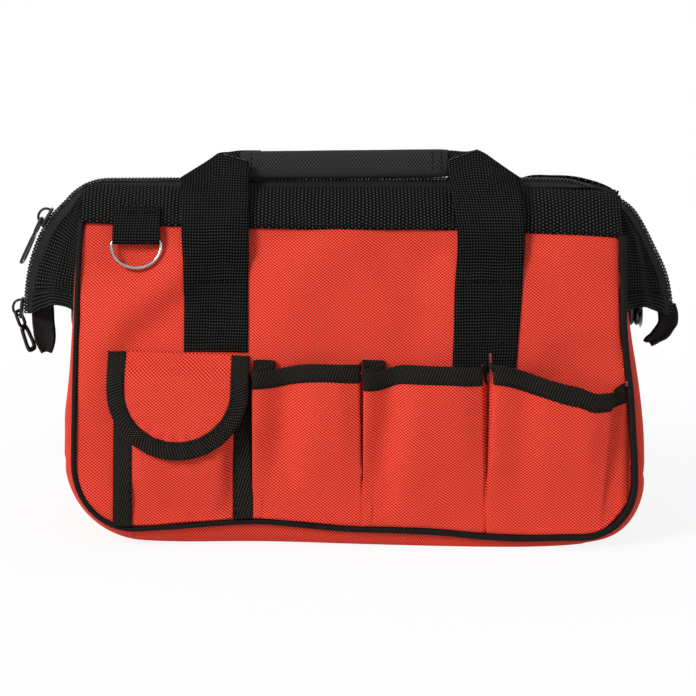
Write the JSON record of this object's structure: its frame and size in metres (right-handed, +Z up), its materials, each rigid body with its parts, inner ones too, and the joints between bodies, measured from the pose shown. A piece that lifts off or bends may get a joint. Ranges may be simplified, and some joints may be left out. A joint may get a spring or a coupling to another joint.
{
  "type": "tool bag",
  "caption": "Small soft-sided tool bag with a framed gate mouth closed by a zip, webbing carry handles, outer pockets and a flapped pocket.",
  "frame": {"origin": "centre of the flat base, on the surface that the bag stands on", "axes": "+Z up, +X along the bag towards the viewer's right as seen from the front, front face towards -Y"},
  "size_m": [0.4, 0.1814, 0.2223],
  "materials": {
    "red_fabric": "woven polyester, plain weave with a fine twill fleck",
    "black_webbing": "coarse woven webbing",
    "black_tape": "fine woven tape and binding",
    "black_coil": "nylon zip coil",
    "chrome": "polished",
    "steel": "drawn wire",
    "black_metal": "dark satin coating",
    "board": "matt sheet"
  },
  "bodies": {
    "root": {"bottom_panel": "red_fabric", "base_board": "board", "left_gusset": "red_fabric", "right_gusset": "red_fabric"},
    "carriage": {"left_pivot_rivet": "steel", "right_pivot_rivet": "steel", "left_zip_end_tab": "black_tape", "right_zip_end_tab": "black_tape"},
    "front_gate": {"front_frame_rod": "steel", "front_left_wing": "black_webbing", "front_right_wing": "black_webbing", "front_zip_tape": "black_tape", "front_zip_coil": "black_coil"},
    "rear_gate": {"rear_frame_rod": "steel", "rear_left_wing": "black_webbing", "rear_right_wing": "black_webbing", "rear_zip_tape": "black_tape", "rear_zip_coil": "black_coil"},
    "upper_slider_body": {"upper_slider": "black_metal"},
    "upper_pull_body": {"upper_pull": "black_metal"},
    "lower_slider_body": {"lower_slider": "black_metal"},
    "lower_pull_body": {"lower_pull": "black_metal"},
    "front_body": {"front_panel": "red_fabric", "front_band": "black_webbing", "front_piping": "black_tape", "front_left_return": "red_fabric", "front_right_return": "red_fabric", "front_left_strap": "black_webbing", "front_right_strap": "black_webbing", "front_dring_tab": "black_webbing", "flap_pocket": "red_fabric", "flap_pocket_left_binding": "black_webbing", "flap_pocket_right_binding": "black_webbing", "front_pocket_1": "red_fabric", "front_pocket_2": "red_fabric", "front_pocket_3": "red_fabric", "front_pocket_binding": "black_webbing"},
    "pocket_flap_body": {"pocket_flap": "red_fabric", "pocket_flap_binding": "black_webbing"},
    "front_handle_body": {"front_handle_webbing": "black_webbing", "front_grip": "black_tape"},
    "front_dring_body": {"front_dring": "chrome"},
    "rear_body": {"rear_panel": "red_fabric", "rear_band": "black_webbing", "rear_piping": "black_tape", "rear_left_return": "red_fabric", "rear_right_return": "red_fabric", "rear_left_strap": "black_webbing", "rear_right_strap": "black_webbing", "rear_dring_tab": "black_webbing", "rear_pocket_1": "red_fabric", "rear_pocket_2": "red_fabric", "rear_pocket_3": "red_fabric", "rear_pocket_binding": "black_webbing"},
    "rear_handle_body": {"rear_handle_webbing": "black_webbing", "rear_grip": "black_tape"},
    "rear_dring_body": {"rear_dring": "chrome"}
  },
  "joints": [
    {"name": "mouth_open", "type": "hinge", "parent": "root", "child": "front_body", "pos_m": [0, -0.08, 0.01], "axis": [1, 0, 0], "range_deg": [0, 12.5]},
    {"name": "rear_panel_tilt", "type": "hinge", "parent": "root", "child": "rear_body", "pos_m": [0, 0.08, 0.01], "axis": [-1, 0, 0], "range_deg": [0, 12.5]},
    {"name": "front_gate_turn", "type": "hinge", "parent": "front_body", "child": "front_gate", "pos_m": [0, -0.0082, 0.1948], "axis": [1, 0, 0], "range_deg": [0, 22.51]},
    {"name": "rear_gate_turn", "type": "hinge", "parent": "rear_body", "child": "rear_gate", "pos_m": [0, 0.0082, 0.1948], "axis": [-1, 0, 0], "range_deg": [0, 22.51]},
    {"name": "carriage_lift", "type": "slide", "parent": "root", "child": "carriage", "axis": [0, 0, 1], "range_m": [0, 0.0281]},
    {"name": "upper_slider_run", "type": "hinge", "parent": "front_gate", "child": "upper_slider_body", "pos_m": [-0.0695, 0, 0.1108], "axis": [0, 1, 0], "range_deg": [-8, 3.5]},
    {"name": "upper_pull_swing", "type": "hinge", "parent": "upper_slider_body", "child": "upper_pull_body", "pos_m": [-0.18709, 0, 0.17977], "axis": [0, 1, 0], "range_deg": [0, 165]},
    {"name": "lower_slider_run", "type": "hinge", "parent": "front_gate", "child": "lower_slider_body", "pos_m": [-0.0695, 0, 0.1108], "axis": [0, 1, 0], "range_deg": [0, 7]},
    {"name": "lower_pull_swing", "type": "hinge", "parent": "lower_slider_body", "child": "lower_pull_body", "pos_m": [-0.20517, 0, 0.12408], "axis": [0, 1, 0], "range_deg": [0, 165]},
    {"name": "pocket_flap_lift", "type": "hinge", "parent": "front_body", "child": "pocket_flap_body", "pos_m": [-0.1015, -0.0528, 0.111], "axis": [-1, 0, 0], "range_deg": [0, 110]},
    {"name": "front_handle_swing", "type": "hinge", "parent": "front_body", "child": "front_handle_body", "pos_m": [0, -0.0415, 0.1493], "axis": [1, 0, 0], "range_deg": [0, 80]},
    {"name": "front_dring_swing", "type": "hinge", "parent": "front_body", "child": "front_dring_body", "pos_m": [-0.1285, -0.03403, 0.1725], "axis": [-1, 0, 0], "range_deg": [0, 150]},
    {"name": "rear_handle_swing", "type": "hinge", "parent": "rear_body", "child": "rear_handle_body", "pos_m": [0, 0.0445, 0.1505], "axis": [1, 0, 0], "range_deg": [0, 150]},
    {"name": "rear_dring_swing", "type": "hinge", "parent": "rear_body", "child": "rear_dring_body", "pos_m": [0.1285, 0.03403, 0.1725], "axis": [1, 0, 0], "range_deg": [0, 150]}
  ],
  "couplings": [
    {"joint": "rear_panel_tilt", "follows": "mouth_open", "ratio": 1},
    {"joint": "front_gate_turn", "follows": "mouth_open", "ratio": 1.8},
    {"joint": "rear_gate_turn", "follows": "mouth_open", "ratio": 1.8},
    {"joint": "carriage_lift", "follows": "mouth_open", "m_per_rad": 0.12834}
  ]
}
